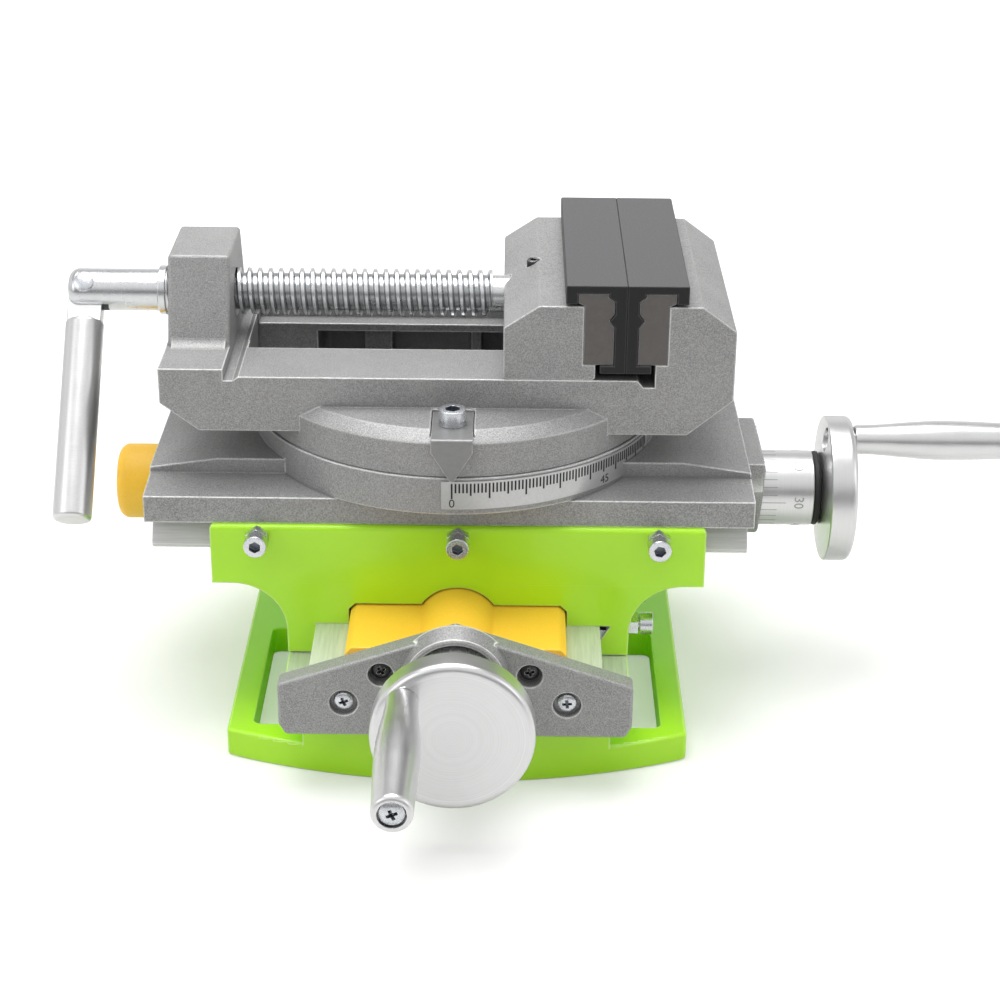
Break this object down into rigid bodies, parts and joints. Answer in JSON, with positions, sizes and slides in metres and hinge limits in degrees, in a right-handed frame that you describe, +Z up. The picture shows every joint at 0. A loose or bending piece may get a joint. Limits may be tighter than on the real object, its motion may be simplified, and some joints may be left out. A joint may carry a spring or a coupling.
{
  "type": "cross slide vise",
  "caption": "Swivelling jaw vise on two crossed dovetail slides, each moved by a lead screw with a crank handwheel, over a slotted base.",
  "frame": {"origin": "centre of the base's underside", "axes": "+X along the vise from its screw to its fixed jaw, +Y away from the operator's front handwheel, +Z up out of the base's underside"},
  "size_m": [0.3742, 0.3206, 0.1774],
  "materials": {
    "green_paint": "smooth semi-gloss enamel over the castings",
    "amber_plastic": "moulded, satin",
    "grey_casting": "as cast, shot blasted, fine sparkling grain",
    "bright_steel": "turned, zinc plated",
    "screw_steel": "zinc plated fasteners",
    "plate_steel": "ground",
    "dark_cover": "satin black",
    "rubber_ring": "matt",
    "bronze": "as machined",
    "scale_plate": "satin strip with black marks"
  },
  "bodies": {
    "base": {"base": "green_paint", "y_screw_cover": "amber_plastic", "y_end_plate": "grey_casting", "end_plate_screws": "screw_steel"},
    "y_screw": {"y_lead_screw": "bright_steel", "y_wheel_ring": "rubber_ring", "y_handwheel": "bright_steel", "y_grip_bolt": "screw_steel"},
    "y_dial": {"y_dial": "bright_steel"},
    "y_grip": {"y_grip": "bright_steel"},
    "saddle": {"saddle": "green_paint", "y_nut": "bronze", "x_nut": "bronze", "x_gib": "screw_steel", "y_gib": "screw_steel", "x_gib_screws": "screw_steel", "y_gib_screws": "screw_steel", "x_gib_locknuts": "screw_steel", "y_gib_locknuts": "screw_steel"},
    "table": {"x_slide": "grey_casting", "x_end_bracket": "grey_casting", "x_bracket_screws": "screw_steel", "x_end_cap": "amber_plastic", "degree_scale": "scale_plate", "swivel_pivot": "screw_steel"},
    "x_screw": {"x_lead_screw": "bright_steel", "x_wheel_ring": "rubber_ring", "x_handwheel": "bright_steel", "x_grip_bolt": "screw_steel"},
    "x_dial": {"x_dial": "bright_steel"},
    "x_grip": {"x_grip": "bright_steel"},
    "vise": {"vise_body": "grey_casting", "pointer": "bright_steel", "swivel_screws": "screw_steel", "rear_washer": "bright_steel", "swivel_t_nuts": "screw_steel", "fixed_jaw_plate": "plate_steel", "fixed_plate_screws": "screw_steel", "fixed_jaw_cover": "dark_cover"},
    "movable_jaw": {"movable_jaw": "grey_casting", "movable_jaw_plate": "plate_steel", "movable_plate_screws": "screw_steel", "movable_jaw_cover": "dark_cover", "jaw_keeper": "screw_steel", "keeper_screws": "screw_steel", "jaw_grub_screw": "screw_steel"},
    "vise_screw": {"vise_screw": "bright_steel", "handle_pin": "bright_steel"},
    "vise_handle": {"vise_handle": "bright_steel"}
  },
  "joints": [
    {"name": "y_screw_turn", "type": "hinge", "parent": "base", "child": "y_screw", "pos_m": [0, -0.12, 0.047], "axis": [0, 1, 0], "range_deg": [-5940, 5400]},
    {"name": "y_dial_set", "type": "hinge", "parent": "y_screw", "child": "y_dial", "pos_m": [0, -0.12, 0.047], "axis": [0, 1, 0], "continuous": true},
    {"name": "y_grip_spin", "type": "hinge", "parent": "y_screw", "child": "y_grip", "pos_m": [-0.01698, -0.18, 0.06176], "axis": [0, 1, 0], "continuous": true},
    {"name": "saddle_slide", "type": "slide", "parent": "base", "child": "saddle", "axis": [0, 1, 0], "range_m": [-0.03, 0.033]},
    {"name": "table_slide", "type": "slide", "parent": "saddle", "child": "table", "axis": [1, 0, 0], "range_m": [-0.017, 0.04]},
    {"name": "x_screw_turn", "type": "hinge", "parent": "table", "child": "x_screw", "pos_m": [0.13, 0, 0.0751], "axis": [1, 0, 0], "range_deg": [-3060, 7200]},
    {"name": "x_dial_set", "type": "hinge", "parent": "x_screw", "child": "x_dial", "pos_m": [0.13, 0, 0.0751], "axis": [1, 0, 0], "continuous": true},
    {"name": "x_grip_spin", "type": "hinge", "parent": "x_screw", "child": "x_grip", "pos_m": [0.18, -0.00301, 0.0974], "axis": [1, 0, 0], "continuous": true},
    {"name": "vise_swivel", "type": "hinge", "parent": "table", "child": "vise", "pos_m": [-0.002, 0, 0.12], "axis": [0, 0, 1], "range_deg": [-45, 45]},
    {"name": "jaw_slide", "type": "slide", "parent": "vise", "child": "movable_jaw", "axis": [1, 0, 0], "range_m": [-0.07, 0]},
    {"name": "vise_screw_turn", "type": "hinge", "parent": "movable_jaw", "child": "vise_screw", "pos_m": [-0.05, 0, 0.1553], "axis": [1, 0, 0], "range_deg": [-6300, 0]},
    {"name": "handle_fold", "type": "hinge", "parent": "vise_screw", "child": "vise_handle", "pos_m": [-0.1435, 0, 0.1553], "axis": [0, 0.7547, -0.6561], "range_deg": [-8, 80]}
  ],
  "couplings": [
    {"joint": "y_screw_turn", "follows": "saddle_slide", "rad_per_m": -3141.6},
    {"joint": "x_screw_turn", "follows": "table_slide", "rad_per_m": 3141.6},
    {"joint": "jaw_slide", "follows": "vise_screw_turn", "m_per_rad": 0.00063662}
  ]
}
